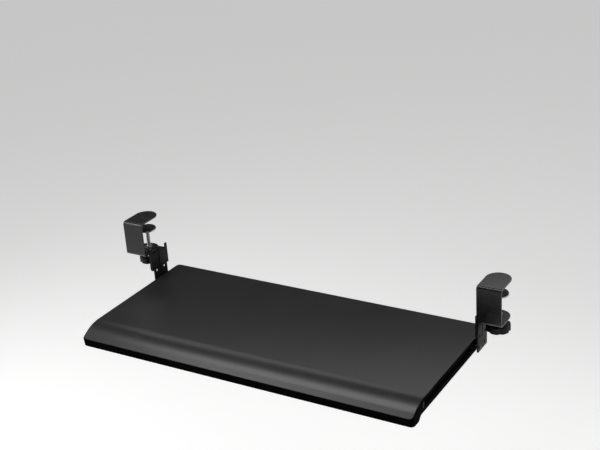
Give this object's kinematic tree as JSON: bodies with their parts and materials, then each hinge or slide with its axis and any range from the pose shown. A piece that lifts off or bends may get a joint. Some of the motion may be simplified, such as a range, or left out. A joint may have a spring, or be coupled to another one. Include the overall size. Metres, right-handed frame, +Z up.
{
  "type": "clamp-on under-desk keyboard tray",
  "caption": "Keyboard tray with a sloping palm rest, hung under a desk by clamps and sliding out on rollers held by pressed steel hangers.",
  "frame": {"origin": "the desk's top front edge at the middle of the tray, level with the undersides of the clamps' upper pads and with the inner faces of the clamps' front plates", "axes": "+X to the user's right, +Y away from the user and in under the desk, +Z up"},
  "size_m": [0.8184, 0.3196, 0.1555],
  "materials": {
    "tray_abs": "black ABS with a fine moulded grain, satin along the palm slope",
    "panel_polypropylene": "black polypropylene, plain matt",
    "black_coated_steel": "satin black powder coat on pressed steel",
    "zinc_steel": "bright zinc-plated steel",
    "black_oxide_steel": "black oxide on steel, slightly glossy",
    "acetal": "black acetal, turned smooth",
    "black_rubber": "matt black rubber",
    "knob_plastic": "black moulded polypropylene, semi-gloss edges"
  },
  "bodies": {
    "frame": {"clamp_left": "black_coated_steel", "clamp_right": "black_coated_steel", "clamp_pad_left": "black_rubber", "clamp_pad_right": "black_rubber", "thread_insert_left": "zinc_steel", "thread_insert_right": "zinc_steel", "hanger_left": "black_coated_steel", "hanger_right": "black_coated_steel", "hanger_bolts_left": "black_oxide_steel", "hanger_bolts_right": "black_oxide_steel", "hanger_nuts_left": "zinc_steel", "hanger_nuts_right": "zinc_steel", "roller_studs_left": "black_oxide_steel", "roller_studs_right": "black_oxide_steel"},
    "tray": {"tray_deck": "tray_abs", "tray_underside": "panel_polypropylene", "underside_screws": "zinc_steel", "slide_rail_left": "black_coated_steel", "slide_rail_right": "black_coated_steel", "rail_screws_left": "zinc_steel", "rail_screws_right": "zinc_steel", "rear_buffer_left": "black_rubber", "rear_buffer_right": "black_rubber", "front_buffer_left": "black_rubber", "front_buffer_right": "black_rubber"},
    "front_wheel_left": {"front_roller_left": "acetal"},
    "rear_wheel_left": {"rear_roller_left": "acetal"},
    "clamp_foot_left": {"pressure_pad_left": "zinc_steel", "pad_facing_left": "black_rubber"},
    "screw_left": {"clamp_screw_left": "zinc_steel", "clamp_knob_left": "knob_plastic"},
    "front_wheel_right": {"front_roller_right": "acetal"},
    "rear_wheel_right": {"rear_roller_right": "acetal"},
    "clamp_foot_right": {"pressure_pad_right": "zinc_steel", "pad_facing_right": "black_rubber"},
    "screw_right": {"clamp_screw_right": "zinc_steel", "clamp_knob_right": "knob_plastic"}
  },
  "joints": [
    {"name": "tray_slide", "type": "slide", "parent": "frame", "child": "tray", "axis": [0, 1, 0], "range_m": [0, 0.207]},
    {"name": "front_wheel_spin_left", "type": "hinge", "parent": "frame", "child": "front_wheel_left", "pos_m": [-0.3424, 0.02285, -0.1305], "axis": [1, 0, 0], "range_deg": [-2700, 2700]},
    {"name": "rear_wheel_spin_left", "type": "hinge", "parent": "frame", "child": "rear_wheel_left", "pos_m": [-0.3424, 0.04815, -0.1305], "axis": [1, 0, 0], "range_deg": [-2700, 2700]},
    {"name": "clamp_travel_left", "type": "slide", "parent": "frame", "child": "clamp_foot_left", "axis": [0, 0, 1], "range_m": [-0.022, 0.0065]},
    {"name": "knob_turn_left", "type": "hinge", "parent": "clamp_foot_left", "child": "screw_left", "pos_m": [-0.386, 0.042, -0.09], "axis": [0, 0, 1], "range_deg": [-3962, 1172]},
    {"name": "front_wheel_spin_right", "type": "hinge", "parent": "frame", "child": "front_wheel_right", "pos_m": [0.3424, 0.02285, -0.1305], "axis": [1, 0, 0], "range_deg": [-2700, 2700]},
    {"name": "rear_wheel_spin_right", "type": "hinge", "parent": "frame", "child": "rear_wheel_right", "pos_m": [0.3424, 0.04815, -0.1305], "axis": [1, 0, 0], "range_deg": [-2700, 2700]},
    {"name": "clamp_travel_right", "type": "slide", "parent": "frame", "child": "clamp_foot_right", "axis": [0, 0, 1], "range_m": [-0.022, 0.0065]},
    {"name": "knob_turn_right", "type": "hinge", "parent": "clamp_foot_right", "child": "screw_right", "pos_m": [0.386, 0.042, -0.09], "axis": [0, 0, 1], "range_deg": [-3962, 1172]}
  ],
  "couplings": [
    {"joint": "front_wheel_spin_left", "follows": "tray_slide", "rad_per_m": -181.82},
    {"joint": "rear_wheel_spin_left", "follows": "tray_slide", "rad_per_m": 181.82},
    {"joint": "knob_turn_left", "follows": "clamp_travel_left", "rad_per_m": 3141.6},
    {"joint": "front_wheel_spin_right", "follows": "tray_slide", "rad_per_m": -181.82},
    {"joint": "rear_wheel_spin_right", "follows": "tray_slide", "rad_per_m": 181.82},
    {"joint": "knob_turn_right", "follows": "clamp_travel_right", "rad_per_m": 3141.6}
  ]
}
